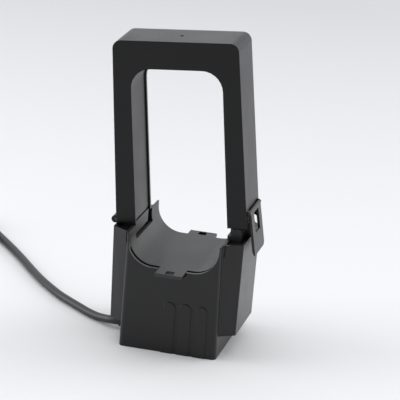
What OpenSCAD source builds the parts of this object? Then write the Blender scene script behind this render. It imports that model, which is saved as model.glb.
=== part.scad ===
// Split-core current transformer: a tall U frame hinged on a base whose
// saddle carries the conductor, with a snap latch and a jacketed lead.
// Millimetres, +Z up, +X towards the latch, +Y towards the rear cover.
// The origin is the centre of the underside of the base.

/* [Conductor window] */
// Clear width between the legs where they close on the base
window_w = 50.4; // [40:0.2:60]
// Clear height above the pod tops
window_h = 85.4; // [60:0.2:120]
// Corner radius at the top of the window
window_r = 11; // [4:0.5:16]

/* [Frame] */
// Leg width at the foot
leg_w = 10.7; // [10.5:0.1:14]
// How much each leg narrows on its outer side towards the top
leg_taper = 1.9; // [0:0.1:3]
// Front-to-back depth of the frame
frame_d = 28; // [24:0.5:36]
// Height of the bar over the window
beam_h = 15; // [12:0.5:20]
// Outer corner radius at the top
frame_r = 4.6; // [2:0.2:8]
// Wall of the frame mouldings
frame_wall = 1.2; // [1:0.1:1.9]
// How far the rear cover's lip stands into the window
cover_lip = 0.8; // [0.4:0.1:1.2]
// Angle at which the unlatched frame stands open
ajar = 5.6; // [0:0.1:7]

/* [Base] */
// Height of the saddle horns and pod tops
base_h = 63.4; // [58:0.2:75]
// Width of the centre block at its top
block_w = 51.8; // [50:0.2:56]
// How far the centre block reaches forward of the legs' middle
block_front = 28.3; // [24:0.1:36]
// How far the centre block reaches behind the legs' middle
block_rear = 33; // [26:0.1:40]
// How much the block widens on each side towards the floor
block_flare = 1; // [0:0.1:2]
// Depth of the pods under the legs
pod_d = 37.4; // [34:0.2:44]
// Height of the pod undersides above the floor
pod_z = 12; // [10:0.5:16]
// How much each pod narrows towards its underside
pod_taper = 1; // [0:0.1:2]
// Wall of the base moulding
base_wall = 2; // [1.6:0.1:2.4]
// Depth of the saddle below its horns
saddle_drop = 16.8; // [14:0.2:20]
// Thickness of the saddle moulding
saddle_wall = 1.8; // [1.4:0.1:2.4]
// Radius of the saddle's lower corners
saddle_r = 14; // [10:0.5:16]

/* [Cable tie loops] */
// Width of each loop
loop_w = 15; // [12:0.5:20]
// How far each loop stands out of the saddle
loop_reach = 6.6; // [6.4:0.1:7.4]
// Slot across each loop, for a cable tie
loop_slot_w = 4.4; // [3:0.1:6]

/* [Grip ribs] */
// Number of ribs on the front of the base
rib_count = 3; // [1:1:3]
// Distance from rib to rib
rib_pitch = 8.8; // [8:0.1:9]
// Width of one rib
rib_w = 6.6; // [4:0.2:7]
// Height of the ribs above the floor
rib_h = 29; // [20:0.5:34]
// How far a rib stands out
rib_out = 0.5; // [0.3:0.1:1]

/* [Core and winding] */
// Thickness of the core strip
core_t = 4.4; // [3.6:0.1:4.6]
// Width of the core, front to back
core_d = 20; // [16:0.5:20]
// Height above the pod tops at which the two cores meet
core_face_z = 5.8; // [4.6:0.1:6]
// Underside of the lower core's crossbar
core_bar_z = 24; // [20:0.5:26]
// Build of the secondary winding over its bobbin
winding_t = 7; // [4:0.5:8]
// Length of the bobbin between its ends
bobbin_l = 44; // [36:0.5:48]

/* [Hinge] */
// Radius of the hinge knuckles
knuckle_r = 2; // [1.8:0.1:2.2]
// Radius of the hinge pin
hinge_pin_r = 0.9; // [0.7:0.05:1]
// Length of the middle knuckle, on the base
knuckle_l = 13.6; // [10:0.2:16]

/* [Latch] */
// Thickness of the latch arm
arm_t = 1.4; // [1.2:0.1:1.6]
// Width of the latch arm, front to back
arm_w = 21.4; // [20:0.2:21.4]
// Length of the latch arm below its pin
arm_l = 23.5; // [21:0.2:25]
// Angle at which the released arm stands off the pod
arm_lean = 4; // [3.6:0.1:5]
// Width of the slot that takes the catch
slot_w = 10; // [9:0.2:12]
// Height of the slot that takes the catch
slot_h = 11.3; // [11:0.1:12]
// Radius of the latch pin
latch_pin_r = 0.6; // [0.5:0.05:0.7]

/* [Lead] */
// Diameter of the cable
cable_d = 4.5; // [4:0.1:5]
// Diameter across the middle of the stored coil's turns
coil_d = 54; // [45:1:54]

/* [Hidden] */
$fn = 48;

// Small gaps that the real mouldings have
fit = 0.3;          // between separate mouldings
seat = 0.1;         // between a piece and what carries it
run_fit = 0.05;     // a pin in the bore that turns on it
close_gap = 0.3;    // under the feet of the closed frame

// Frame, in its closed place
half_win = window_w / 2;
half_out = half_win + leg_w;
win_lean = 0.4;                       // the window narrows a little upwards
beam_z = base_h + window_h;
frame_top = beam_z + beam_h;
foot_z = base_h + close_gap;
front_y = -frame_d / 2;
cover_t = 1.8;
shell_d = frame_d - cover_t;
cavity_half = half_out - frame_wall;

// Collars: sleeves of the base in which the lower core's ends stand
collar_foot_h = 1.9;                  // step that meets the leg's inner wall
collar_wall = 0.7;
face_z = base_h + core_face_z;
core_x = half_win + frame_wall + fit + collar_wall + seat;   // inner face of a core leg
collar_in = core_x - seat - collar_wall;
collar_out = core_x + core_t + seat + collar_wall;
foot_front = front_y + frame_wall + fit;
foot_rear = -front_y - cover_t - fit;
pocket_h = 1.2;                       // shallow recess in the pod tops, round the collars
collar_drop = 13.4;                   // the collars reach this far below the pod tops
collar_base_z = base_h - collar_drop;
catch_h = 8.2;                        // height of the catch's post above the pod tops
base_screw_l = 8;
board_post_in = 4;                    // board posts, in from the board's edges
flange_z = base_h - base_wall - fit - 2;
gate_h = foot_z + collar_foot_h;      // lower edge of a leg's inner wall

// Hinge axis, along Y
hinge_x = -(half_out + 0.6);
hinge_z = base_h + knuckle_r + fit;
swing_r = half_win + frame_wall + hinge_x;      // reach of the leg's inner wall from the axis

// Latch, in the closed frame's place
latch_x = half_out + 0.65;
latch_z = base_h + 8;
barrel_r = 1.1;
ear_t = 1.4;
arm_shift = 0.1;                      // the arm stands this far forward of the legs' middle
arm_front = -arm_w / 2 - arm_shift;
slot_y = arm_front + 5.8;
slot_top = barrel_r + 0.2;            // below the pin
catch_w = slot_w - 2;
nose_out = 1.1;
nose_z = base_h + 3.6;
barrel_seat = 0.9;

// Base
half_block = block_w / 2;
half_pod = half_out - 0.1;
pod_step = 4.2;                       // the block stands this far in front of the slanted walls
half_saddle = half_block - 0.9;
saddle_z = base_h - saddle_drop;
saddle_front = -block_front + pod_step + fit;   // the saddle starts behind the front wall's rim
notch_z = base_h - 7.6;
notch_gap = 2.4;                      // open gap below the collar's step
notch_rear = foot_rear + 7;
cover_plate = 2;

// Core, winding and board
pad_space = 4;                        // over the upper core's crossbar
upper_bar_z = frame_top - frame_wall - pad_space - core_t;
flange_t = 1.6;
bobbin_wall = 1.2;
bobbin_h = core_t + 2 * (seat + bobbin_wall);
bobbin_d = core_d + 2 * (seat + bobbin_wall);
wind_end = bobbin_l / 2 - flange_t;
flange_more = winding_t + 0.8;
tape_t = 0.3;
board_z = cover_plate + 5.2;
board_t = 1.6;
board_w = 44;
board_d = 34;
terminal_l = 8;
terminal_w = 10;
terminal_h = 4;
resistor_y = 8;
resistor_l = 10;
resistor_pitch = 24;

// Cable
cable_r = cable_d / 2;
exit_y = -5.5;
exit_z = 4.6;
relief_x = -(half_block + block_flare);
route = [[-33, -5.5, 4.6], [-38, -4.4, 4.2], [-43, -1.6, 3.2], [-48.5, 1.6, 2.5], [-54.5, 5.8, 2.3],
         [-61, 11, 2.3], [-69, 17.5, 2.3], [-77, 24.5, 2.3], [-86, 34, 2.3], [-95, 44.5, 2.3],
         [-106, 59, 2.3], [-117, 74, 2.3], [-128, 88, 2.3], [-139, 101.5, 2.3],
         [-147, 111.5, 2.3], [-155.4, 121.8, 2.3]];
coil_at = [-185.2, 97.4];
coil_w = 4 * cable_d;
coil_h = 2 * cable_d;
tail_route = [[-219.1, 78.4, 2.3], [-219.1, 70, 2.3], [-218.7, 62, 2.3], [-217.2, 54, 2.3],
              [-215.2, 46.2, 2.3]];
wire_d = 1.6;
white_route = [[-214.3, 46.3, 2.3], [-212.6, 40.2, 1.8], [-209.4, 34.6, 1.1], [-205.4, 29.6, 1.1],
               [-201.4, 25, 1.1]];
black_route = [[-216, 45.8, 2.3], [-215.2, 39.8, 1.8], [-215.3, 33.6, 1.1], [-216.6, 27.6, 1.1],
               [-218.8, 21.8, 1.1]];
ferrule_l = 7;
ferrule_r = 0.65;

// ---- Helpers -------------------------------------------------------------

// Points of a corner rounded with radius r, between its two neighbours
function rounded_corner(a, p, b, r, n = 7) =
    let (u = (a - p) / norm(a - p), v = (b - p) / norm(b - p),
         half = acos(u * v) / 2,
         c = p + (u + v) / norm(u + v) * r / sin(half),
         s = p + u * r / tan(half) - c, e = p + v * r / tan(half) - c,
         a0 = atan2(s[1], s[0]), raw = atan2(e[1], e[0]) - a0,
         turn = raw > 180 ? raw - 360 : raw < -180 ? raw + 360 : raw)
    [for (i = [0:n]) c + r * [cos(a0 + turn * i / n), sin(a0 + turn * i / n)]];

// A front-view outline, standing upright and running back from y0
module upright(y0, depth) {
    translate([0, y0 + depth, 0]) rotate([90, 0, 0]) linear_extrude(depth) children();
}

// A cylinder along Y that starts at y0
module rod_y(x, z, y0, length, r) {
    translate([x, y0 + length, z]) rotate([90, 0, 0]) cylinder(r = r, h = length);
}

// A box given by its lowest and highest corners
module block(lo, hi) {
    translate(lo) cube(hi - lo);
}

// The same piece on both sides of the centre
module both_sides() {
    children();
    mirror([1, 0, 0]) children();
}

// Turns the closed frame to where it stands open
module on_hinge() {
    translate([hinge_x, 0, hinge_z]) rotate([0, -ajar, 0]) translate([-hinge_x, 0, -hinge_z]) children();
}

// A tube along a route: rings square to the path, closed at both ends
function path_dir(p, i) =
    let (d = p[min(i + 1, len(p) - 1)] - p[max(i - 1, 0)]) d / norm(d);
function smooth_route(p, k) =
    [for (i = [0:len(p) - 2]) for (j = [0:k - 1])
        let (t = j / k, a = p[max(i - 1, 0)], b = p[i], c = p[i + 1], d = p[min(i + 2, len(p) - 1)])
        0.5 * ((2 * b) + (c - a) * t + (2 * a - 5 * b + 4 * c - d) * t * t
               + (3 * b - a - 3 * c + d) * t * t * t),
     p[len(p) - 1]];
module tube(points, r, sides) {
    n = len(points);
    rings = [for (i = [0:n - 1])
        let (d = path_dir(points, i), s = cross([0, 0, 1], d), side = s / norm(s), up = cross(d, side))
        for (k = [0:sides - 1])
            points[i] + r * (cos(360 * k / sides) * side + sin(360 * k / sides) * up)];
    faces = concat(
        [[for (k = [0:sides - 1]) k]],
        [for (i = [0:n - 2]) for (k = [0:sides - 1])
            let (a = i * sides + k, b = i * sides + (k + 1) % sides) [a, a + sides, b + sides, b]],
        [[for (k = [0:sides - 1]) n * sides - 1 - k]]);
    polyhedron(rings, faces);
}

// ---- Frame ---------------------------------------------------------------

// Outer outline of the frame, drawn in by a wall
module frame_outline(wall = 0, foot = foot_z) {
    lean = leg_taper / (frame_top - foot_z);
    low = half_out - wall;
    high = half_out - wall - lean * (frame_top - wall - foot);
    top = frame_top - wall;
    r = frame_r - wall;
    polygon(concat([[-low, foot], [low, foot]],
        rounded_corner([low, foot], [high, top], [-high, top], r),
        rounded_corner([high, top], [-high, top], [-low, foot], r)));
}

// Outline of the window, let out by a wall
module window_outline(wall = 0, foot = foot_z) {
    low = half_win + wall;
    high = half_win - win_lean + wall;
    top = beam_z + wall;
    r = window_r + wall;
    polygon(concat([[-low, foot - 1], [low, foot - 1]],
        rounded_corner([low, foot - 1], [high, top], [-high, top], r),
        rounded_corner([high, top], [-high, top], [-low, foot - 1], r)));
}

module frame_band(wall = 0) {
    difference() {
        frame_outline(wall);
        window_outline(wall);
    }
}

// Places of the screws that hold the rear cover, and of their bosses
boss_r = 1.8;
screw_r = 0.9;
screw_l = 9;
boss_at = [for (s = [-1, 1]) [s * (core_x - 1), frame_top - frame_wall - boss_r + 0.2]];

module frame_shell() {
    color([0.16, 0.16, 0.17]) on_hinge() difference() {
        union() {
            difference() {
                upright(front_y, shell_d) frame_band();
                // hollow between the walls, open at the rear and at the feet
                difference() {
                    upright(front_y + frame_wall, shell_d) union() {
                        frame_band(frame_wall);
                        both_sides() translate([half_win + frame_wall, foot_z - 1])
                            square([leg_w - 2 * frame_wall, 2]);
                    }
                    for (b = boss_at) rod_y(b[0], b[1], front_y, shell_d, boss_r);
                    // ribs that hold the core off the front wall
                    for (s = [-1, 1]) for (z = [base_h + window_h * 0.28, base_h + window_h * 0.63])
                        block([s * (core_x + core_t / 2) - 2.6, front_y, z],
                              [s * (core_x + core_t / 2) + 2.6, -core_d / 2 - seat, z + 1.4]);
                    for (x = [-half_win * 0.55, half_win * 0.55])
                        block([x - 0.7, front_y, upper_bar_z - 1],
                              [x + 0.7, -core_d / 2 - seat, upper_bar_z + core_t + 1]);
                }
                // the inner walls stop short, over the steps of the collars
                both_sides() block([half_win - 2, front_y + frame_wall, foot_z - 1],
                                   [half_win + frame_wall + 0.1, frame_d, gate_h]);
            }
            // outer knuckles of the hinge
            difference() {
                rod_y(hinge_x, hinge_z, front_y, frame_d, knuckle_r);
                rod_y(hinge_x, hinge_z, -knuckle_l / 2 - fit, knuckle_l + 2 * fit, knuckle_r + fit);
            }
            // ears that hold the latch pin
            for (y = [arm_front - fit / 2 - ear_t, arm_front + arm_w + fit / 2])
                hull() {
                    rod_y(latch_x, latch_z, y, ear_t, barrel_r);
                    block([half_out - 1.2, y, latch_z - 1.4], [half_out - 0.8, y + ear_t, latch_z + 2.2]);
                }
        }
        // room for the base knuckle and its web
        rod_y(hinge_x, hinge_z, -knuckle_l / 2 - fit, knuckle_l + 2 * fit, knuckle_r + fit);
        block([hinge_x - 1, -knuckle_l / 2 - fit, foot_z - 1],
              [-half_out + frame_wall + 0.4, knuckle_l / 2 + fit, hinge_z]);
        // window in the outer wall for the catch
        block([cavity_half - 0.5, arm_front - fit / 2, foot_z - 1],
              [half_out + 1, arm_front + arm_w + fit / 2, latch_z - 1.4]);
        block([cavity_half - 0.5, slot_y, foot_z - 1], [half_out + 1, slot_y + slot_w, latch_z + 0.8]);
        // shallow seat for the barrel of the latch arm
        block([half_out - barrel_seat, arm_front - fit / 2, latch_z - 2],
              [half_out + 1, arm_front + arm_w + fit / 2, latch_z + barrel_r + 0.3]);
        // bores for the pins and the screws
        rod_y(hinge_x, hinge_z, front_y - 1, frame_d + 2, hinge_pin_r);
        rod_y(latch_x, latch_z, arm_front - ear_t - 2, arm_w + 2 * ear_t + 4, latch_pin_r);
        for (b = boss_at) rod_y(b[0], b[1], front_y + 12, shell_d, screw_r);
        // gate recess in the middle of the top
        translate([0, 0, frame_top - 0.6]) cylinder(r = 1.1, h = 2);
    }
}

module frame_cover() {
    color([0.13, 0.13, 0.14]) on_hinge() difference() {
        union() {
            upright(frame_d / 2 - cover_t + seat / 2, cover_t - seat / 2) difference() {
                frame_outline();
                window_outline(-cover_lip);
            }
            // locating rim inside the outer wall
            upright(frame_d / 2 - cover_t - 1.2, 1.4) difference() {
                frame_outline(frame_wall + seat);
                frame_outline(frame_wall + seat + 1);
                translate([-half_out, foot_z - 1]) square([2 * half_out, 10]);
                for (b = boss_at) translate(b) circle(r = boss_r + fit);
            }
        }
        rod_y(hinge_x, hinge_z, 0, frame_d, knuckle_r + seat);
        for (b = boss_at) {
            rod_y(b[0], b[1], 0, frame_d, screw_r + 0.3);
            rod_y(b[0], b[1], frame_d / 2 - 0.9, 2, 2);
        }
    }
}

module frame_screws() {
    color([0.55, 0.55, 0.57]) on_hinge() for (b = boss_at) difference() {
        union() {
            rod_y(b[0], b[1], frame_d / 2 - screw_l, screw_l - 0.8, screw_r);
            rod_y(b[0], b[1], frame_d / 2 - 0.9 + seat / 2, 0.7, 1.8);
        }
        for (a = [0, 90]) translate([b[0], frame_d / 2, b[1]]) rotate([0, a, 0])
            cube([2.2, 0.8, 0.5], center = true);
    }
}

// A U of core strip, open downwards, with rounded outer corners
module core_u(leg_foot, bar_low) {
    upright(-core_d / 2, core_d) difference() {
        outer = core_x + core_t;
        top = bar_low + core_t;
        polygon(concat([[-outer, leg_foot], [outer, leg_foot]],
            rounded_corner([outer, leg_foot], [outer, top], [-outer, top], 5),
            rounded_corner([outer, top], [-outer, top], [-outer, leg_foot], 5)));
        polygon(concat([[-core_x, leg_foot - 1], [core_x, leg_foot - 1]],
            rounded_corner([core_x, leg_foot], [core_x, bar_low], [-core_x, bar_low], 1),
            rounded_corner([core_x, bar_low], [-core_x, bar_low], [-core_x, leg_foot], 1)));
    }
}

module upper_core() {
    color([0.34, 0.35, 0.37]) on_hinge() core_u(face_z + 0.2, upper_bar_z);
}

pad_l = 40;
pad_w = 14;
pad_h = 8;

// Foam over the core's crossbar, and beside its legs, presses the cores together
module core_pads() {
    pad_top = frame_top - frame_wall - seat;
    color([0.22, 0.22, 0.22]) on_hinge() {
        block([-pad_l / 2, -core_d / 2 + 1, upper_bar_z + core_t + seat],
              [pad_l / 2, core_d / 2 - 1, pad_top]);
        both_sides() for (z = [base_h + window_h * 0.4, base_h + window_h * 0.75])
            block([half_win + frame_wall + seat, -pad_w / 2, z], [core_x - seat, pad_w / 2, z + pad_h]);
    }
}

// ---- Latch and hinge -----------------------------------------------------

module at_latch() {
    on_hinge() translate([latch_x, 0, latch_z]) rotate([0, -arm_lean, 0]) children();
}

module latch_arm() {
    color([0.17, 0.17, 0.18]) at_latch() difference() {
        union() {
            rod_y(0, 0, arm_front, arm_w, barrel_r);
            upright(arm_front, arm_w) polygon([[barrel_r - arm_t, 0], [barrel_r, 0],
                [barrel_r, -arm_l], [barrel_r - arm_t + 0.7, -arm_l], [barrel_r - arm_t, -arm_l + 2]]);
        }
        block([-3, slot_y, -slot_top - slot_h], [3, slot_y + slot_w, -slot_top]);
        rod_y(0, 0, arm_front - 1, arm_w + 2, latch_pin_r + run_fit);
        // the lower rear corner is cut away
        translate([0, arm_front + arm_w, -arm_l]) rotate([45, 0, 0]) cube([6, 2.4, 2.4], center = true);
    }
}

module latch_pin() {
    color([0.6, 0.6, 0.62]) on_hinge()
        rod_y(latch_x, latch_z, arm_front - fit / 2 - ear_t + 0.2,
              arm_w + fit + 2 * ear_t - 0.4, latch_pin_r);
}

module hinge_pin() {
    color([0.6, 0.6, 0.62]) on_hinge()
        rod_y(hinge_x, hinge_z, front_y + 0.4, frame_d - 0.8, hinge_pin_r);
}

// ---- Base ----------------------------------------------------------------

// Profile of the saddle's hollow, let out by a wall
module saddle_hollow(wall = 0, over = 20) {
    w = half_saddle + wall;
    r = saddle_r + wall;
    cx = half_saddle - saddle_r;
    cz = saddle_z + saddle_r;
    union() {
        for (s = [-1, 1]) translate([s * cx, cz]) circle(r = r);
        translate([-cx, saddle_z - wall]) square([2 * cx, r]);
        translate([-w, cz]) square([2 * w, base_h - cz + over]);
    }
}

// Centre block, from the floor up, drawn in by a wall
module block_body(wall, z0, z1) {
    hull() for (sx = [-1, 1]) for (y = [-block_front, block_rear]) for (z = [z0, z1 - 0.02]) {
        x = half_block + block_flare * (1 - z / base_h) - wall;
        r = max(2.6 - wall, 0.6);
        translate([sx * (x - r), y + (y < 0 ? 1 : -1) * (wall + r), z]) cylinder(r = r, h = 0.02, $fn = 32);
    }
}

// Pods under the legs and the slanted walls that join them to the block
module pod_body(wall, z0, z1) {
    slant = wall * 0.72;
    hull() for (sx = [-1, 1]) for (sy = [-1, 1]) for (z = [z0, z1 - 0.02]) {
        x = half_pod - pod_taper * (base_h - z) / (base_h - pod_z) - wall;
        translate([sx * (x - 0.6), sy * (pod_d / 2 - slant - 0.6), z]) cylinder(r = 0.6, h = 0.02, $fn = 16);
        translate([sx * half_block, sy * (block_front - pod_step - slant * 1.4), z])
            cylinder(r = 0.3, h = 0.02, $fn = 16);
    }
}

module rib_outline() {
    translate([-rib_w / 2, 0]) square([rib_w, rib_h - rib_w / 2]);
    translate([0, rib_h - rib_w / 2]) circle(r = rib_w / 2);
}

// Openings in the pods for the collars
module collar_openings(grow) {
    both_sides() block([half_win - 1.4, foot_front - grow, flange_z - 1],
                       [collar_out + grow, foot_rear + grow, base_h + 1]);
}

// Recess in the pod tops, round the collars
module pod_pockets() {
    intersection() {
        pod_body(base_wall - 0.4, base_h - pocket_h, base_h + 1);
        both_sides() block([half_saddle + saddle_wall, -block_front, 0], [half_pod, block_rear, base_h + 2]);
    }
}

screw_at = [for (sx = [-1, 1]) for (y = [-block_front + 6.6, block_rear - 6.6]) [sx * (half_block - 5.6), y]];

module base_housing() {
    color([0.17, 0.17, 0.18]) difference() {
        union() {
            difference() {
                union() {
                    block_body(0, 0, base_h);
                    pod_body(0, pod_z, base_h);
                    for (i = [0:rib_count - 1]) intersection() {
                        upright(-block_front - rib_out, rib_out + 0.5)
                            translate([i * rib_pitch, 0]) rib_outline();
                        block([-half_block - 2, -2 * block_front, 0], [half_block + 2, 0, base_h]);
                    }
                }
                block_body(base_wall, -1, base_h - base_wall);
                pod_body(base_wall, pod_z + base_wall, base_h - base_wall);
                block([-half_saddle + 4, saddle_front, pod_z],
                      [half_saddle - 4, block_rear - base_wall, base_h + 1]);
                upright(saddle_front - fit, 2 * block_rear) saddle_hollow(saddle_wall + fit);
                upright(-2 * block_front, 2 * block_front) saddle_hollow();
                // the front loop passes over the rim
                block([-loop_w / 2 - fit, -2 * block_front, saddle_z - saddle_wall - fit],
                      [loop_w / 2 + fit, saddle_front, saddle_z + 1]);
                collar_openings(fit);
                pod_pockets();
            }
            // screw pillars for the bottom cover
            for (p = screw_at) {
                translate([p[0], p[1], cover_plate + seat]) cylinder(r = 3.2, h = 12);
                translate([p[0], p[1] - 0.8, cover_plate + seat])
                    mirror([p[0] < 0 ? 1 : 0, 0, 0]) cube([4.6, 1.6, 12]);
            }
            // middle knuckle of the hinge and its web
            rod_y(hinge_x, hinge_z, -knuckle_l / 2, knuckle_l, knuckle_r);
            block([hinge_x - 0.9, -knuckle_l / 2, base_h - 6], [-half_out + 1, knuckle_l / 2, hinge_z - 0.6]);
        }
        rod_y(hinge_x, hinge_z, -knuckle_l, 2 * knuckle_l, hinge_pin_r + run_fit);
        for (p = screw_at) translate([p[0], p[1], -1]) cylinder(r = 1.1, h = 11);
        // outlet for the lead
        translate([relief_x - 3, exit_y, exit_z + 0.6]) rotate([0, 90, 0]) cylinder(r = 2.5, h = 8);
    }
}

module saddle() {
    color([0.2, 0.2, 0.21]) difference() {
        union() {
            intersection() {
                upright(saddle_front, block_rear - saddle_front) difference() {
                    saddle_hollow(saddle_wall);
                    saddle_hollow(0, 30);
                }
                // flush with the block where it stands clear of the pods
                union() {
                    block([-half_block, -block_front, 0], [half_block, block_rear, base_h]);
                    block([-half_pod, -block_front, 0], [half_pod, block_front - pod_step, base_h]);
                }
            }
            // a loop at each end for a cable tie
            block([-loop_w / 2, -block_front - loop_reach, saddle_z - saddle_wall],
                  [loop_w / 2, saddle_front + 1, saddle_z]);
            block([-loop_w / 2, block_rear - 1, saddle_z - saddle_wall],
                  [loop_w / 2, block_rear + loop_reach, saddle_z]);
        }
        for (y = [-block_front - loop_reach / 2, block_rear + loop_reach / 2]) translate([0, y, saddle_z])
            cube([loop_slot_w, loop_reach - 2, 10], center = true);
        // the legs stand in notches in the sides
        both_sides() block([half_saddle - 6, foot_front - fit, notch_z],
                           [half_block + 3, notch_rear, base_h + 1]);
    }
}

module bottom_cover() {
    color([0.15, 0.15, 0.16]) difference() {
        block_body(base_wall + fit, 0, cover_plate);
        for (p = screw_at) translate([p[0], p[1], 0]) {
            translate([0, 0, -1]) cylinder(r = 1.5, h = 6);
            translate([0, 0, -1]) cylinder(r = 2.7, h = 1.9);
        }
    }
}

module base_screws() {
    color([0.55, 0.55, 0.57]) for (p = screw_at) translate([p[0], p[1], 0]) difference() {
        union() {
            translate([0, 0, 0.9 - 0.75]) cylinder(r = 2.4, h = 0.75 - seat / 2);
            translate([0, 0, 0.8]) cylinder(r = 1.1, h = base_screw_l);
        }
        for (a = [0, 90]) rotate([0, 0, a]) cube([2.6, 0.6, 0.8], center = true);
    }
}

// Sleeve round one end of the lower core, on the latch side
module collar() {
    difference() {
        union() {
            block([collar_in, foot_front, collar_base_z], [collar_out, foot_rear, face_z]);
            block([half_win, foot_front, notch_z + notch_gap],
                  [collar_out, foot_rear, base_h + collar_foot_h]);
            // flange that the pod top holds down
            block([half_saddle + saddle_wall + fit, foot_front - 2, flange_z],
                  [collar_out, foot_rear + 2, flange_z + 2]);
        }
        block([core_x - seat, -core_d / 2 - seat, collar_base_z - 1],
              [core_x + core_t + seat, core_d / 2 + seat, face_z + 1]);
    }
}

module hinge_side_collar() {
    color([0.22, 0.22, 0.23]) intersection() {
        mirror([1, 0, 0]) collar();
        // the upper corner is rounded off to let the leg swing past
        union() {
            rod_y(hinge_x, hinge_z, -frame_d, 2 * frame_d, swing_r_in);
            block([-block_w, -frame_d, 0], [0, frame_d, gate_h - close_gap]);
        }
    }
}
swing_r_in = -half_win - frame_wall - hinge_x - fit;

module latch_side_collar() {
    color([0.22, 0.22, 0.23]) union() {
        collar();
        // catch: a post behind the slot of the latch arm, with a ramped nose
        translate([0, slot_y + (slot_w - catch_w) / 2, 0]) upright(0, catch_w) polygon([
            [collar_out - 0.2, flange_z], [collar_out, flange_z], [collar_out, base_h + 0.4],
            [half_out, base_h + 0.4], [half_out, nose_z], [half_out + nose_out, nose_z],
            [half_out + nose_out, nose_z + 0.7], [half_out - 0.1, nose_z + 3],
            [half_out - 0.8, base_h + catch_h],
            [collar_out - 0.2, base_h + catch_h - 2.4]]);
    }
}

module lower_core() {
    color([0.34, 0.35, 0.37]) translate([0, 0, face_z + core_bar_z]) mirror([0, 0, 1])
        core_u(core_bar_z, face_z - core_t);
}

module bobbin() {
    z = core_bar_z + core_t / 2;
    color([0.9, 0.88, 0.8]) difference() {
        union() {
            translate([0, 0, z]) cube([bobbin_l, bobbin_d, bobbin_h], center = true);
            for (s = [-1, 1]) translate([s * (bobbin_l / 2 - flange_t / 2), 0, z])
                cube([flange_t, bobbin_d + 2 * flange_more, bobbin_h + 2 * flange_more], center = true);
        }
        translate([0, 0, z]) cube([bobbin_l + 2, core_d + 2 * seat, core_t + 2 * seat], center = true);
    }
}

// A band round the bobbin, rounded at its four edges
module wound_band(inner, outer, length) {
    translate([-length / 2, 0, core_bar_z + core_t / 2]) rotate([90, 0, 90])
    linear_extrude(length) difference() {
        union() {
            square([bobbin_d + 2 * outer, bobbin_h + 2 * inner], center = true);
            square([bobbin_d + 2 * inner, bobbin_h + 2 * outer], center = true);
            for (sx = [-1, 1]) for (sy = [-1, 1])
                translate([sx * (bobbin_d / 2 + inner), sy * (bobbin_h / 2 + inner)])
                    circle(r = outer - inner);
        }
        square([bobbin_d + 2 * inner, bobbin_h + 2 * inner], center = true);
    }
}

module secondary_winding() {
    color([0.72, 0.4, 0.2]) wound_band(seat, winding_t, 2 * (wind_end - seat));
}

module winding_tape() {
    color([0.85, 0.7, 0.25]) difference() {
        wound_band(seat, winding_t + seat + tape_t, 2 * (wind_end - 2));
        wound_band(seat - 0.05, winding_t + seat, 2 * wind_end);
    }
}

module burden_board() {
    color([0.1, 0.35, 0.2]) difference() {
        translate([-board_w / 2, -board_d / 2, board_z]) cube([board_w, board_d, board_t]);
        for (s = [-1, 1]) translate([s * resistor_pitch / 2, resistor_y, board_z - 1])
            cylinder(r = 0.5, h = 4);
    }
    // stand-offs under the board
    color([0.9, 0.9, 0.86]) for (sx = [-1, 1]) for (sy = [-1, 1])
        translate([sx * (board_w / 2 - board_post_in), sy * (board_d / 2 - board_post_in),
                   cover_plate + seat])
            cylinder(r = 2, h = board_z - cover_plate - seat);
}

module burden_resistor() {
    z = board_z + board_t + 1.6 + seat;
    color([0.3, 0.5, 0.7]) translate([-resistor_l / 2, resistor_y, z]) rotate([0, 90, 0])
        cylinder(r = 1.6, h = resistor_l);
    color([0.7, 0.7, 0.7]) both_sides() {
        translate([resistor_l / 2 - seat, resistor_y, z]) rotate([0, 90, 0])
            cylinder(r = 0.35, h = (resistor_pitch - resistor_l) / 2 + seat);
        translate([resistor_pitch / 2, resistor_y, board_z - 0.6]) cylinder(r = 0.35, h = z + 0.6 - board_z);
    }
}

module surge_diode() {
    color([0.12, 0.12, 0.12]) block([4, -8, board_z + board_t], [11, -3, board_z + board_t + 2.2]);
}

module lead_terminal() {
    color([0.1, 0.4, 0.15]) difference() {
        x = -board_w / 2 + 3;
        y = -board_d / 2 + 2;
        z = board_z + board_t;
        block([x, y, z], [x + terminal_l, y + terminal_w, z + terminal_h]);
        for (k = [0.25, 0.75]) translate([x - 1, y + terminal_w * k, z + terminal_h / 2]) rotate([0, 90, 0])
            cylinder(r = terminal_h / 4, h = terminal_l * 0.75);
    }
}

// ---- Lead ----------------------------------------------------------------

module strain_relief() {
    color([0.12, 0.12, 0.12]) translate([0, exit_y, exit_z]) rotate([0, -90, 0]) difference() {
        union() {
            translate([0, 0, -relief_x + seat])
                cylinder(r1 = 3.4, r2 = 2.9, h = -route[0][0] + relief_x - seat);
            translate([0.6, 0, -relief_x - base_wall]) cylinder(r = 2.4, h = base_wall + 1);
        }
        translate([0, 0, -route[0][0] - 3]) cylinder(r = cable_r, h = 4);
    }
}

module cable() {
    color([0.2, 0.2, 0.21]) tube(concat([route[0] + [3, 0, 0]], smooth_route(route, 2)), cable_r, 10);
}

module cable_coil() {
    color([0.2, 0.2, 0.21]) translate([coil_at[0], coil_at[1], 0.05]) rotate_extrude()
        translate([coil_d / 2 - coil_w / 2, 0]) union() {
            translate([0, cable_r]) square([coil_w, coil_h - cable_d]);
            translate([cable_r, 0]) square([coil_w - cable_d, coil_h]);
            for (x = [cable_r, coil_w - cable_r]) for (y = [cable_r, coil_h - cable_r])
                translate([x, y]) circle(r = cable_r);
        }
}

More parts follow.
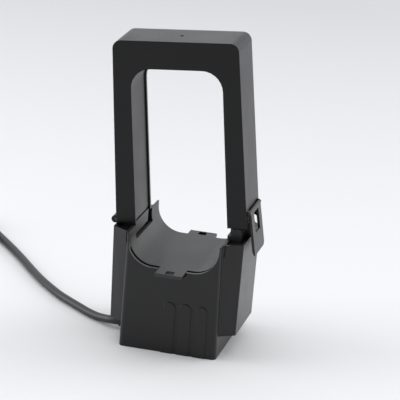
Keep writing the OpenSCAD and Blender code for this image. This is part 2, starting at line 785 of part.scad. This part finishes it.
module coil_tie() {
    gap = 0.3;
    at = coil_at + coil_d / 2 * [cos(-60), sin(-60)];
    color([0.1, 0.1, 0.1]) translate([at[0], at[1], 0.05]) rotate([0, 0, -60]) difference() {
        block([-coil_w / 2 - gap - 1, -1.8, 0], [coil_w / 2 + gap + 1, 1.8, coil_h + gap + 1]);
        block([-coil_w / 2 - gap, -3, -1], [coil_w / 2 + gap, 3, coil_h + gap]);
    }
}

module cable_tail() {
    color([0.2, 0.2, 0.21]) tube(smooth_route(tail_route, 2), cable_r, 10);
}

module white_lead() {
    color([0.9, 0.9, 0.88]) tube(smooth_route(white_route, 2), wire_d / 2, 8);
}

module black_lead() {
    color([0.08, 0.08, 0.08]) tube(smooth_route(black_route, 2), wire_d / 2, 8);
}

// Crimped sleeves on the ends of the two conductors
module lead_ferrules() {
    color([0.75, 0.75, 0.77]) for (p = [white_route, black_route]) {
        n = len(p) - 1;
        d = p[n] - p[n - 1];
        translate(p[n] + 0.15 * d / norm(d)) rotate([0, 90, atan2(d[1], d[0])])
            cylinder(r = ferrule_r, h = ferrule_l);
    }
}

frame_shell();
frame_cover();
frame_screws();
upper_core();
core_pads();
latch_arm();
latch_pin();
hinge_pin();
base_housing();
saddle();
bottom_cover();
base_screws();
hinge_side_collar();
latch_side_collar();
lower_core();
bobbin();
secondary_winding();
winding_tape();
burden_board();
burden_resistor();
surge_diode();
lead_terminal();
strain_relief();
cable();
cable_coil();
coil_tie();
cable_tail();
white_lead();
black_lead();
lead_ferrules();
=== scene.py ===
"""Split-core current transformer: finishes, lead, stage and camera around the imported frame."""
import math

import bmesh
import bpy
from bpy.props import FloatProperty, FloatVectorProperty, PointerProperty
from mathutils import Matrix, Vector


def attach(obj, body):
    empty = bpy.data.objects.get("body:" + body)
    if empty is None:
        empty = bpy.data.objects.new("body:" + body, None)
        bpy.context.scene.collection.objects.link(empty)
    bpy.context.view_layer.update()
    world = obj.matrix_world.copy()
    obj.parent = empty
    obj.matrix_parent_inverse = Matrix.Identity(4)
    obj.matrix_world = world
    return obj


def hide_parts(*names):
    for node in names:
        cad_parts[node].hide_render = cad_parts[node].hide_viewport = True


bl_info = {
    "name": "Split-core current transformer",
    "version": (1, 0, 0),
    "blender": (4, 5, 0),
    "location": "View3D > Sidebar > Transformer",
    "description": "Dresses the packed split-core current transformer and sets its stage",
    "category": "Object",
}

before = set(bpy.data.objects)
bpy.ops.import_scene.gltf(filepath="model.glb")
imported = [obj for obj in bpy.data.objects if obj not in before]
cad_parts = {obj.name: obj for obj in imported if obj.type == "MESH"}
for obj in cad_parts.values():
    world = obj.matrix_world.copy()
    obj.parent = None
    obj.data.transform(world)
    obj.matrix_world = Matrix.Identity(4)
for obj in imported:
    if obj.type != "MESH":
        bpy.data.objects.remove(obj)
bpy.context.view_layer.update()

MM = 0.001

# The lead's route and its stored coil, in the row frame: lengths in millimetres, spans in degrees
ROUTE = [(-33, -5.5, 4.6), (-38, -4.4, 4.2), (-43, -1.6, 3.2), (-48.5, 1.6, 2.5), (-54.5, 5.8, 2.3),
         (-61, 11, 2.3), (-69, 17.5, 2.3), (-77, 24.5, 2.3), (-86, 34, 2.3), (-95, 44.5, 2.3),
         (-106, 59, 2.3), (-117, 74, 2.3), (-128, 88, 2.3), (-139, 101.5, 2.3),
         (-147, 111.5, 2.3), (-155.4, 121.7, 2.3)]
TAIL_ROUTE = [(-219.1, 70, 2.3), (-218.7, 62, 2.3), (-217.2, 54, 2.3), (-215.2, 46.2, 2.3)]
LEAD_TUCK = 0.5         # start of the lead inside its strain relief
ROUTE_STEPS = 4         # points along each stretch of a route
COIL_AT = (-185.2, 97.4)
COIL_MIDDLE = 27.0      # radius halfway through the winding
TURN_STEP = 4.6         # between neighbouring turns
FIRST_LAYER = 2.3       # height of the turns on the floor
LAYER_GAP = 0.05        # between the two layers
LAST_TURN = 7           # counted from 0
COIL_STEP = 6.0         # between two points of a turn
SETTLE_SPAN = 80        # the route eases into the outer turn over this
CHANGE_SPAN = 86.0      # a turn moves to the next radius over its last part, past the tie
LEAVE_LENGTH = 26       # the lead leaves the coil in a straight line
LEAVE_STEP = 3
DROP_START = 8          # it comes down to the floor from here
DROP_LENGTH = 19
TUBE_RESOLUTION = 5     # smoothness of the lead's round section

# What the camera looks at and its lens, in millimetres
AIM = (5.97, 0, 78.37)
SENSOR = 36
LENS = 216


# ---- Sizes and colours ---------------------------------------------------

def colour(name, description, value):
    return FloatVectorProperty(name=name, description=description, subtype="COLOR", size=3,
                               min=0.0, max=1.0, default=value)


def size(name, description, value, low, high):
    return FloatProperty(name=name, description=description, default=value, min=low, max=high,
                         subtype="DISTANCE", unit="LENGTH", precision=5)


class HousingSettings(bpy.types.PropertyGroup):
    frame_plastic: colour("Frame plastic", "Colour of the frame moulding", (0.0060, 0.0062, 0.0068))
    frame_plastic_light: colour("Frame plastic, light", "Lighter tone that clouds the mouldings",
                                (0.0095, 0.0097, 0.0105))
    base_plastic: colour("Base plastic", "Colour of the base mouldings", (0.0070, 0.0072, 0.0078))
    saddle_plastic: colour("Saddle plastic", "Colour of the saddle moulding", (0.0210, 0.0213, 0.0222))
    cover_plastic: colour("Cover plastic", "Colour of the smooth rear cover", (0.0050, 0.0052, 0.0058))
    worn_edge: colour("Worn edge", "Colour of rubbed corners", (0.060, 0.060, 0.064))
    edge_radius: size("Edge radius", "Radius of the moulded edges", 0.0005, 0.0001, 0.002)
    grain_size: size("Grain size", "Spacing of the spark-eroded texture", 0.0007, 0.0002, 0.003)


class LeadSettings(bpy.types.PropertyGroup):
    jacket: colour("Jacket", "Colour of the cable jacket", (0.018, 0.018, 0.019))
    white_wire: colour("White wire", "Colour of the first conductor", (0.78, 0.78, 0.74))
    black_wire: colour("Black wire", "Colour of the second conductor", (0.012, 0.012, 0.013))
    diameter: size("Diameter", "Diameter of the cable", 0.0045, 0.003, 0.008)


class MetalSettings(bpy.types.PropertyGroup):
    pin_steel: colour("Pin steel", "Colour of the hinge and latch pins", (0.07, 0.07, 0.075))
    core_steel: colour("Core steel", "Colour of the ground core faces", (0.22, 0.23, 0.25))
    copper: colour("Winding", "Colour of the enamelled wire", (0.46, 0.16, 0.06))


class StageSettings(bpy.types.PropertyGroup):
    floor_near: colour("Floor, near", "Floor colour at the front", (0.86, 0.86, 0.87))
    # painted shade: the floor at the back is coloured darker, standing in for the light falling off with
    # distance
    floor_far_shade: colour("Floor, far", "Floor colour at the back", (0.66, 0.66, 0.675))
    camera_distance: FloatProperty(name="Camera distance", description="From the aim point", default=1.2811,
                                   min=0.5, max=3.0, subtype="DISTANCE", unit="LENGTH")
    azimuth: FloatProperty(name="Azimuth", description="Camera's turn to the latch side, in degrees",
                           default=13.43, min=-180, max=180)
    elevation: FloatProperty(name="Elevation", description="Camera's height angle, in degrees",
                             default=18.65, min=0, max=90)
    roll: FloatProperty(name="Roll", description="Camera's roll, in degrees", default=3.95, min=-10, max=10)


# ---- Shader node groups --------------------------------------------------

def new_group(name, inputs, outputs):
    tree = bpy.data.node_groups.new(name, "ShaderNodeTree")
    for kind, label, value in inputs:
        socket = tree.interface.new_socket(name=label, in_out="INPUT", socket_type=kind)
        if value is not None:
            socket.default_value = value
    for kind, label in outputs:
        tree.interface.new_socket(name=label, in_out="OUTPUT", socket_type=kind)
    return tree, tree.nodes.new("NodeGroupInput"), tree.nodes.new("NodeGroupOutput")


def feed(tree, value, socket):
    """Links a socket to another node's output, or sets it to a plain value."""
    if isinstance(value, bpy.types.NodeSocket):
        tree.links.new(value, socket)
    else:
        socket.default_value = value


def maths(tree, operation, a, b, clamp=False):
    node = tree.nodes.new("ShaderNodeMath")
    node.operation = operation
    node.use_clamp = clamp
    feed(tree, a, node.inputs[0])
    feed(tree, b, node.inputs[1])
    return node.outputs[0]


def mixed(tree, factor, a, b):
    """A colour between two, each of them a plain colour or another node's output."""
    node = tree.nodes.new("ShaderNodeMix")
    node.data_type = "RGBA"
    tree.links.new(factor, node.inputs["Factor"])
    colours = [socket for socket in node.inputs if socket.type == "RGBA"]
    for value, socket in zip((a, b), colours):
        plain = not isinstance(value, bpy.types.NodeSocket)
        feed(tree, (*value, 1) if plain else value, socket)
    return next(socket for socket in node.outputs if socket.type == "RGBA")


def noise(tree, coordinates, scale, detail):
    node = tree.nodes.new("ShaderNodeTexNoise")
    node.inputs["Detail"].default_value = detail
    feed(tree, scale, node.inputs["Scale"])
    tree.links.new(coordinates, node.inputs["Vector"])
    return node


def ramp_along_y(tree, coordinates, start, stop, low=0.0, high=1.0):
    """Runs from low to high between two places along y."""
    split = tree.nodes.new("ShaderNodeSeparateXYZ")
    tree.links.new(coordinates, split.inputs[0])
    ramp = tree.nodes.new("ShaderNodeMapRange")
    for label, value in (("From Min", start), ("From Max", stop), ("To Min", low), ("To Max", high)):
        ramp.inputs[label].default_value = value
    tree.links.new(split.outputs["Y"], ramp.inputs["Value"])
    return ramp


def edge_wear_group():
    """Rubbed corners: where the rounded normal leaves the flat one, broken up by noise."""
    tree, start, end = new_group(
        "Edge wear",
        [("NodeSocketVector", "Coordinates", None), ("NodeSocketFloat", "Radius", 0.0005),
         ("NodeSocketFloat", "Amount", 0.5)],
        [("NodeSocketFloat", "Mask"), ("NodeSocketVector", "Normal")])
    bevel = tree.nodes.new("ShaderNodeBevel")
    bevel.samples = 6
    tree.links.new(start.outputs["Radius"], bevel.inputs["Radius"])
    flat = tree.nodes.new("ShaderNodeNewGeometry")
    dot = tree.nodes.new("ShaderNodeVectorMath")
    dot.operation = "DOT_PRODUCT"
    tree.links.new(bevel.outputs["Normal"], dot.inputs[0])
    tree.links.new(flat.outputs["Normal"], dot.inputs[1])
    away = maths(tree, "SUBTRACT", 1.0, dot.outputs["Value"], True)
    patches = noise(tree, start.outputs["Coordinates"], scale=260, detail=4).outputs["Fac"]
    rough = maths(tree, "MULTIPLY", away, maths(tree, "MULTIPLY", patches, 5.0), True)
    tree.links.new(maths(tree, "MULTIPLY", rough, start.outputs["Amount"], True), end.inputs["Mask"])
    tree.links.new(bevel.outputs["Normal"], end.inputs["Normal"])
    return tree


def grain_group():
    """Spark-eroded grain of a moulding: fine pits over a slow cloud."""
    tree, start, end = new_group(
        "Moulded grain",
        [("NodeSocketVector", "Coordinates", None), ("NodeSocketFloat", "Spacing", 0.0007)],
        [("NodeSocketFloat", "Height"), ("NodeSocketFloat", "Cloud")])
    place = start.outputs["Coordinates"]
    per_metre = maths(tree, "DIVIDE", 1.0, start.outputs["Spacing"])
    fine = noise(tree, place, scale=per_metre, detail=3)
    fine.inputs["Roughness"].default_value = 0.6
    pits = tree.nodes.new("ShaderNodeTexVoronoi")
    tree.links.new(maths(tree, "MULTIPLY", per_metre, 0.8), pits.inputs["Scale"])
    tree.links.new(place, pits.inputs["Vector"])
    depth = maths(tree, "MULTIPLY", pits.outputs["Distance"], 0.6)
    cloud = noise(tree, place, scale=38, detail=5)
    tree.links.new(maths(tree, "ADD", fine.outputs["Fac"], depth), end.inputs["Height"])
    tree.links.new(cloud.outputs["Fac"], end.inputs["Cloud"])
    return tree


def dust_group():
    """Thin dust on faces that look upwards."""
    tree, start, end = new_group(
        "Dust",
        [("NodeSocketVector", "Coordinates", None), ("NodeSocketFloat", "Amount", 0.1)],
        [("NodeSocketFloat", "Mask")])
    flat = tree.nodes.new("ShaderNodeNewGeometry")
    split = tree.nodes.new("ShaderNodeSeparateXYZ")
    tree.links.new(flat.outputs["Normal"], split.inputs[0])
    up = maths(tree, "POWER", maths(tree, "MAXIMUM", split.outputs["Z"], 0.0), 3.0)
    grit = noise(tree, start.outputs["Coordinates"], scale=900, detail=2).outputs["Fac"]
    specks = maths(tree, "MULTIPLY", maths(tree, "SUBTRACT", grit, 0.5, True), 4.0, True)
    mask = maths(tree, "MULTIPLY", maths(tree, "MULTIPLY", up, specks), start.outputs["Amount"], True)
    tree.links.new(mask, end.inputs["Mask"])
    return tree


GROUPS = {}


def shared(name, maker):
    if name not in GROUPS:
        GROUPS[name] = maker()
    return GROUPS[name]


def place_group(tree, name, maker, coordinates, **values):
    node = tree.nodes.new("ShaderNodeGroup")
    node.node_tree = shared(name, maker)
    tree.links.new(coordinates, node.inputs["Coordinates"])
    for label, value in values.items():
        node.inputs[label.capitalize()].default_value = value
    return node


# ---- Materials -----------------------------------------------------------

DUST_TONE = (0.30, 0.30, 0.29)


def tinted(tone, factor):
    """A tone made darker or lighter."""
    return tuple(min(channel * factor, 1) for channel in tone)


def new_material(name):
    """A material with its node tree, its shader and the object's own coordinates."""
    material = bpy.data.materials.new(name)
    material.use_nodes = True
    tree = material.node_tree
    place = tree.nodes.new("ShaderNodeTexCoord").outputs["Object"]
    return material, tree, tree.nodes["Principled BSDF"], place


def vary_roughness(tree, shader, pattern, roughness, spread):
    swing = maths(tree, "MULTIPLY", maths(tree, "SUBTRACT", pattern, 0.5), spread)
    tree.links.new(maths(tree, "ADD", swing, roughness, True), shader.inputs["Roughness"])


def add_relief(tree, shader, height, depth, normal=None):
    bump = tree.nodes.new("ShaderNodeBump")
    bump.inputs["Distance"].default_value = depth
    tree.links.new(height, bump.inputs["Height"])
    if normal is not None:
        tree.links.new(normal, bump.inputs["Normal"])
    tree.links.new(bump.outputs["Normal"], shader.inputs["Normal"])


def moulded(name, dark, light, worn, roughness, grain, bump, edge, wear=0.5, dust=0.08, specular=0.5):
    """Injection-moulded plastic with grain, soft edges, a little wear and dust."""
    material, tree, shader, place = new_material(name)
    texture = place_group(tree, "grain", grain_group, place, spacing=grain)
    edges = place_group(tree, "wear", edge_wear_group, place, radius=edge, amount=wear)
    dusting = place_group(tree, "dust", dust_group, place, amount=dust)
    base = mixed(tree, texture.outputs["Cloud"], dark, light)
    base = mixed(tree, edges.outputs["Mask"], base, worn)
    base = mixed(tree, dusting.outputs["Mask"], base, DUST_TONE)
    tree.links.new(base, shader.inputs["Base Color"])
    vary_roughness(tree, shader, texture.outputs["Cloud"], roughness, spread=0.18)
    add_relief(tree, shader, texture.outputs["Height"], bump, edges.outputs["Normal"])
    shader.inputs["Specular IOR Level"].default_value = specular
    return material


def metal(name, tone, roughness, stretch=(1, 1, 1)):
    """Ground or plated metal with fine lines."""
    material, tree, shader, place = new_material(name)
    turn = tree.nodes.new("ShaderNodeMapping")
    turn.inputs["Scale"].default_value = stretch
    tree.links.new(place, turn.inputs["Vector"])
    lines = noise(tree, turn.outputs[0], scale=900, detail=4).outputs["Fac"]
    edges = place_group(tree, "wear", edge_wear_group, place, radius=0.0002, amount=0.3)
    base = mixed(tree, lines, tinted(tone, 0.72), tone)
    base = mixed(tree, edges.outputs["Mask"], base, tinted(tone, 1.4))
    tree.links.new(base, shader.inputs["Base Color"])
    shader.inputs["Metallic"].default_value = 1.0
    vary_roughness(tree, shader, lines, roughness, spread=0.3)
    add_relief(tree, shader, lines, 0.00002, edges.outputs["Normal"])
    return material


def wound_copper(name, tone):
    """Enamelled wire wound side by side round the core's bar."""
    material, tree, shader, place = new_material(name)
    wave = tree.nodes.new("ShaderNodeTexWave")
    wave.bands_direction = "X"
    wave.inputs["Scale"].default_value = 380
    wave.inputs["Distortion"].default_value = 0.6
    tree.links.new(place, wave.inputs["Vector"])
    turns = wave.outputs["Fac"]
    # Painted shade: the valleys between neighbouring turns are coloured darker, as shade in the grooves
    tree.links.new(mixed(tree, turns, tinted(tone, 0.35), tone), shader.inputs["Base Color"])
    shader.inputs["Metallic"].default_value = 0.7
    shine = maths(tree, "SUBTRACT", 0.5, maths(tree, "MULTIPLY", turns, 0.15))
    tree.links.new(shine, shader.inputs["Roughness"])
    add_relief(tree, shader, turns, 0.0002)
    return material


def finish_node(name, material):
    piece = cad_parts[name]
    piece.data.materials.clear()
    piece.data.materials.append(material)
    for i in range(len(piece.material_slots)):
        piece.material_slots[i].material = material


# ---- Curves --------------------------------------------------------------

def eased(t):
    t = min(max(t, 0.0), 1.0)
    return t * t * (3 - 2 * t)


def smooth_route(points, steps):
    """Catmull-Rom points through a route, as the frame's own tubes follow it."""
    out = []
    for i in range(len(points) - 1):
        a, b, c, d = (Vector(points[j]) for j in (max(i - 1, 0), i, i + 1, min(i + 2, len(points) - 1)))
        for j in range(steps):
            t = j / steps
            out.append(0.5 * (2 * b + (c - a) * t + (2 * a - 5 * b + 4 * c - d) * t * t
                              + (3 * b - a - 3 * c + d) * t ** 3))
    out.append(Vector(points[-1]))
    return out


def coil_points():
    """Eight turns in two layers: inwards on the floor, then back outwards on top."""
    across, along = ROUTE[-1][0] - COIL_AT[0], ROUTE[-1][1] - COIL_AT[1]
    first = math.degrees(math.atan2(along, across))
    entry = math.hypot(across, along)
    radii = [COIL_MIDDLE + TURN_STEP * k for k in (1.5, 0.5, -0.5, -1.5)]
    upper = FIRST_LAYER + TURN_STEP + LAYER_GAP
    rise = upper - FIRST_LAYER
    out = []
    last = LAST_TURN * 360 + (180 - first)
    angle = COIL_STEP
    while angle < last:
        turn = int(angle // 360)
        within = angle - 360 * turn
        share = eased((within - (360 - CHANGE_SPAN)) / CHANGE_SPAN)
        # The innermost turn climbs round the one before it, and the next turn round the climb
        swing = math.radians(90 * share)
        climb_r = radii[2] + (radii[3] - radii[2]) * share - TURN_STEP * math.cos(swing)
        climb_z = FIRST_LAYER + rise * math.sin(swing)
        if turn < 3:
            r, z = radii[turn] + (radii[turn + 1] - radii[turn]) * share, FIRST_LAYER
        elif turn == 3:
            r, z = climb_r, climb_z
        elif turn == 4:
            r, z = climb_r + TURN_STEP * math.sin(swing), climb_z + rise * math.cos(swing)
        else:
            k = LAST_TURN - turn
            r, z = radii[k] + (radii[max(k - 1, 0)] - radii[k]) * share, upper
        if angle < SETTLE_SPAN:
            r = entry + (r - entry) * eased(angle / SETTLE_SPAN)
        a = math.radians(first + angle)
        out.append(Vector((COIL_AT[0] + r * math.cos(a), COIL_AT[1] + r * math.sin(a), z)))
        angle += COIL_STEP
    for gone in range(0, LEAVE_LENGTH, LEAVE_STEP):
        z = FIRST_LAYER + rise * (1 - eased((gone - DROP_START) / DROP_LENGTH))
        out.append(Vector((COIL_AT[0] - radii[0], COIL_AT[1] - gone, z)))
    return out


def lead_points():
    start = [Vector(ROUTE[0]) + Vector((LEAD_TUCK, 0, 0))]
    out = start + smooth_route(ROUTE, ROUTE_STEPS)[1:]
    return out + coil_points() + smooth_route(TAIL_ROUTE, ROUTE_STEPS)


def curve_piece(name, points, radius, material):
    data = bpy.data.curves.new(name, "CURVE")
    data.dimensions = "3D"
    data.bevel_depth = radius
    data.bevel_resolution = TUBE_RESOLUTION
    data.use_fill_caps = True
    line = data.splines.new("POLY")
    line.points.add(len(points) - 1)
    for target, point in zip(line.points, points):
        target.co = (*(point * MM), 1)
    line.use_smooth = True
    data.materials.append(material)
    piece = bpy.data.objects.new(name, data)
    bpy.context.scene.collection.objects.link(piece)
    return piece


def mesh_piece(name, bm, material, smooth=True):
    bmesh.ops.recalc_face_normals(bm, faces=bm.faces)
    mesh = bpy.data.meshes.new(name)
    bm.to_mesh(mesh)
    bm.free()
    for face in mesh.polygons:
        face.use_smooth = smooth
    mesh.materials.append(material)
    piece = bpy.data.objects.new(name, mesh)
    bpy.context.scene.collection.objects.link(piece)
    return piece


# ---- Operators -----------------------------------------------------------

class CT_OT_frame(bpy.types.Operator):
    """Finishes the hinged frame, its rear cover and the screws"""
    bl_idname = "ct.frame"
    bl_label = "Frame"

    def execute(self, context):
        h = context.scene.ct_housing
        shell = moulded("Housing plastic", h.frame_plastic, h.frame_plastic_light, h.worn_edge,
                        roughness=0.33, grain=h.grain_size, bump=0.00003, edge=h.edge_radius,
                        wear=0.25, dust=0.06, specular=0.26)
        finish_node("frame_shell", shell)
        cover = moulded("Cover plastic", h.cover_plastic, h.frame_plastic, h.worn_edge,
                        roughness=0.30, grain=h.grain_size, bump=0.000012, edge=h.edge_radius * 0.6,
                        wear=0.2, dust=0.04, specular=0.4)
        finish_node("frame_cover", cover)
        foam = moulded("Foam", (0.012, 0.012, 0.012), (0.03, 0.03, 0.03), (0.03, 0.03, 0.03),
                       roughness=0.9, grain=0.0012, bump=0.0003, edge=0.0008, wear=0.0)
        finish_node("core_pads", foam)
        finish_node("frame_screws", metal("Screw steel", (0.45, 0.45, 0.46), 0.32))
        return {"FINISHED"}


class CT_OT_base(bpy.types.Operator):
    """Finishes the base moulding, saddle, collars and bottom cover"""
    bl_idname = "ct.base"
    bl_label = "Base"

    def execute(self, context):
        h = context.scene.ct_housing
        body = moulded("Base plastic", h.base_plastic, tinted(h.base_plastic, 1.4), h.worn_edge,
                       roughness=0.33, grain=h.grain_size, bump=0.00003, edge=h.edge_radius,
                       wear=0.08, dust=0.05, specular=0.40)
        for node in ("base_housing", "bottom_cover"):
            finish_node(node, body)
        saddle = moulded("Saddle plastic", h.saddle_plastic, tinted(h.saddle_plastic, 1.25), h.worn_edge,
                         roughness=0.44, grain=h.grain_size * 0.9, bump=0.00003, edge=h.edge_radius * 0.7,
                         wear=0.25, dust=0.08, specular=0.50)
        for node in ("saddle", "hinge_side_collar", "latch_side_collar"):
            finish_node(node, saddle)
        finish_node("base_screws", bpy.data.materials["Screw steel"])
        return {"FINISHED"}


class CT_OT_latch(bpy.types.Operator):
    """Finishes the latch arm and the two pins"""
    bl_idname = "ct.latch"
    bl_label = "Latch and hinge"

    def execute(self, context):
        h, m = context.scene.ct_housing, context.scene.ct_metal
        arm = moulded("Latch plastic", h.frame_plastic, h.frame_plastic_light, h.worn_edge,
                      roughness=0.38, grain=h.grain_size, bump=0.00002, edge=h.edge_radius * 0.7,
                      wear=0.5, dust=0.05, specular=0.5)
        finish_node("latch_arm", arm)
        pins = metal("Pin steel", m.pin_steel, 0.28, (1, 0.1, 1))
        for node in ("hinge_pin", "latch_pin"):
            finish_node(node, pins)
        return {"FINISHED"}


class CT_OT_inside(bpy.types.Operator):
    """Finishes the cores, the winding and the burden board"""
    bl_idname = "ct.inside"
    bl_label = "Core and winding"

    def execute(self, context):
        m = context.scene.ct_metal
        core = metal("Core steel", m.core_steel, 0.42, (1, 0.05, 1))
        for node in ("upper_core", "lower_core"):
            finish_node(node, core)
        finish_node("secondary_winding", wound_copper("Winding", m.copper))
        plain = {
            "bobbin": ("Bobbin plastic", (0.62, 0.58, 0.44), 0.5),
            "winding_tape": ("Tape", (0.55, 0.33, 0.03), 0.3),
            "burden_board": ("Board", (0.01, 0.10, 0.04), 0.35),
            "burden_resistor": ("Resistor", (0.05, 0.14, 0.28), 0.4),
            "surge_diode": ("Diode", (0.012, 0.012, 0.012), 0.45),
            "lead_terminal": ("Terminal", (0.01, 0.14, 0.03), 0.4),
        }
        for node, (label, tone, roughness) in plain.items():
            finish_node(node, moulded(label, tinted(tone, 0.8), tone, tinted(tone, 1.6), roughness,
                                      grain=0.0006, bump=0.00001, edge=0.0002, wear=0.2, dust=0.0))
        return {"FINISHED"}


class CT_OT_lead(bpy.types.Operator):
    """Makes the cable, its stored coil, its tail and its sleeve"""
    bl_idname = "ct.lead"
    bl_label = "Lead"

    def execute(self, context):
        lead = context.scene.ct_lead
        points = lead_points()
        jacket = moulded("Cable jacket", tinted(lead.jacket, 0.85), lead.jacket, tinted(lead.jacket, 1.2),
                         roughness=0.42, grain=0.0009, bump=0.00002, edge=0.0002, wear=0.0, dust=0.08)
        cable = curve_piece("lead_cable", points, lead.diameter / 2, jacket)
        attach(cable, "base")
        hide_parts("cable", "cable_coil", "cable_tail")
        white = moulded("White insulation", tinted(lead.white_wire, 0.9), lead.white_wire, lead.white_wire,
                        roughness=0.35, grain=0.0009, bump=0.00001, edge=0.0002, wear=0.0, dust=0.05)
        black = moulded("Black insulation", lead.black_wire, tinted(lead.black_wire, 1.3), lead.black_wire,
                        roughness=0.32, grain=0.0009, bump=0.00001, edge=0.0002, wear=0.0, dust=0.05)
        finish_node("lead_ferrules", metal("Tinned copper", (0.62, 0.62, 0.64), 0.3))
        finish_node("white_lead", white)
        finish_node("black_lead", black)
        tie = moulded("Tie nylon", (0.010, 0.010, 0.011), (0.016, 0.016, 0.017), (0.05, 0.05, 0.05),
                      roughness=0.36, grain=0.0006, bump=0.00001, edge=0.0003, wear=0.3)
        for node in ("coil_tie", "strain_relief"):
            finish_node(node, tie)
        return {"FINISHED"}


class CT_OT_stage(bpy.types.Operator):
    """Sets the floor, the soft light and the camera"""
    bl_idname = "ct.stage"
    bl_label = "Stage"

    def execute(self, context):
        scene = context.scene
        s = scene.ct_stage
        self.floor(s)
        self.world(scene)
        self.lamps(scene)
        self.camera(scene, s)
        scene.view_settings.view_transform = "Standard"
        return {"FINISHED"}

    def floor(self, s):
        material, tree, shader, place = new_material("Studio floor")
        # Painted shade: the floor's colour darkens from front to back in place of the light's fall-off
        shade_falloff = ramp_along_y(tree, place, start=0.0, stop=0.75)
        tone = mixed(tree, shade_falloff.outputs["Result"], s.floor_near, s.floor_far_shade)
        tree.links.new(tone, shader.inputs["Base Color"])
        shader.inputs["Roughness"].default_value = 0.7
        shader.inputs["Specular IOR Level"].default_value = 0.2
        bm = bmesh.new()
        bmesh.ops.create_grid(bm, x_segments=1, y_segments=1, size=6.0)
        mesh_piece("floor", bm, material, smooth=False)

    def world(self, scene):
        """Dim towards the camera and full at the back, so the front faces stay dark"""
        world = bpy.data.worlds.new("Studio")
        scene.world = world
        world.use_nodes = True
        tree = world.node_tree
        back = tree.nodes["Background"]
        place = tree.nodes.new("ShaderNodeTexCoord").outputs["Generated"]
        depth = ramp_along_y(tree, place, start=-0.9, stop=0.2, low=0.12, high=1.0)
        depth.interpolation_type = "SMOOTHSTEP"
        back.inputs["Color"].default_value = (0.97, 0.98, 1.0, 1)
        tree.links.new(depth.outputs["Result"], back.inputs["Strength"])

    def lamp(self, scene, name, place, aim, wide, high, watts):
        data = bpy.data.lights.new(name, "AREA")
        data.shape = "RECTANGLE"
        data.size, data.size_y = wide, high
        data.energy = watts
        lamp = bpy.data.objects.new(name, data)
        lamp.location = place
        lamp.rotation_euler = (Vector(aim) - Vector(place)).to_track_quat("-Z", "Y").to_euler()
        scene.collection.objects.link(lamp)

    def lamps(self, scene):
        middle = (0, 0, 0.08)
        self.lamp(scene, "overhead", place=(0.0, 0.25, 1.4), aim=(0, 0.1, 0.05),
                  wide=1.6, high=1.2, watts=3.6)
        self.lamp(scene, "latch_side", place=(1.1, 0.75, 0.42), aim=middle, wide=0.9, high=1.0, watts=9.0)
        self.lamp(scene, "hinge_side", place=(-1.2, -0.25, 0.45), aim=middle, wide=0.9, high=1.0, watts=9.0)

    def camera(self, scene, s):
        az, el, roll = (math.radians(v) for v in (s.azimuth, s.elevation, s.roll))
        aim = Vector(AIM) * MM
        away = Vector((math.sin(az) * math.cos(el), -math.cos(az) * math.cos(el), math.sin(el)))
        right = (-away).cross(Vector((0, 0, 1))).normalized()
        up = right.cross(-away)
        x_axis = right * math.cos(roll) + up * math.sin(roll)
        y_axis = -right * math.sin(roll) + up * math.cos(roll)
        data = bpy.data.cameras.new("camera")
        data.sensor_width = SENSOR
        data.sensor_fit = "HORIZONTAL"
        data.lens = LENS
        data.clip_start = 0.01
        camera = bpy.data.objects.new("camera", data)
        turn = Matrix((x_axis, y_axis, away)).transposed()
        camera.matrix_world = Matrix.Translation(aim + away * s.camera_distance) @ turn.to_4x4()
        scene.collection.objects.link(camera)
        scene.camera = camera


class CT_PT_panel(bpy.types.Panel):
    """Lists the steps that dress the transformer"""
    bl_idname = "CT_PT_panel"
    bl_label = "Current transformer"
    bl_space_type = "VIEW_3D"
    bl_region_type = "UI"
    bl_category = "Transformer"

    def draw(self, context):
        for step in STEPS:
            self.layout.operator(step.bl_idname)
        for group in ("ct_housing", "ct_lead", "ct_metal", "ct_stage"):
            settings = getattr(context.scene, group)
            box = self.layout.box()
            for name in settings.bl_rna.properties.keys():
                if name not in ("rna_type", "name"):
                    box.prop(settings, name)


STEPS = (CT_OT_stage, CT_OT_lead, CT_OT_frame, CT_OT_base, CT_OT_latch, CT_OT_inside)
SETTINGS = {
    "ct_housing": HousingSettings,
    "ct_lead": LeadSettings,
    "ct_metal": MetalSettings,
    "ct_stage": StageSettings,
}


def register():
    for kind in (*SETTINGS.values(), *STEPS, CT_PT_panel):
        bpy.utils.register_class(kind)
    for name, kind in SETTINGS.items():
        setattr(bpy.types.Scene, name, PointerProperty(type=kind))


def unregister():
    for name in SETTINGS:
        delattr(bpy.types.Scene, name)
    for kind in reversed((*SETTINGS.values(), *STEPS, CT_PT_panel)):
        bpy.utils.unregister_class(kind)


def main():
    register()
    bpy.ops.ct.stage()
    bpy.ops.ct.lead()
    bpy.ops.ct.frame()
    bpy.ops.ct.base()
    bpy.ops.ct.latch()
    bpy.ops.ct.inside()
    bpy.context.view_layer.update()


if __name__ == "__main__":
    main()
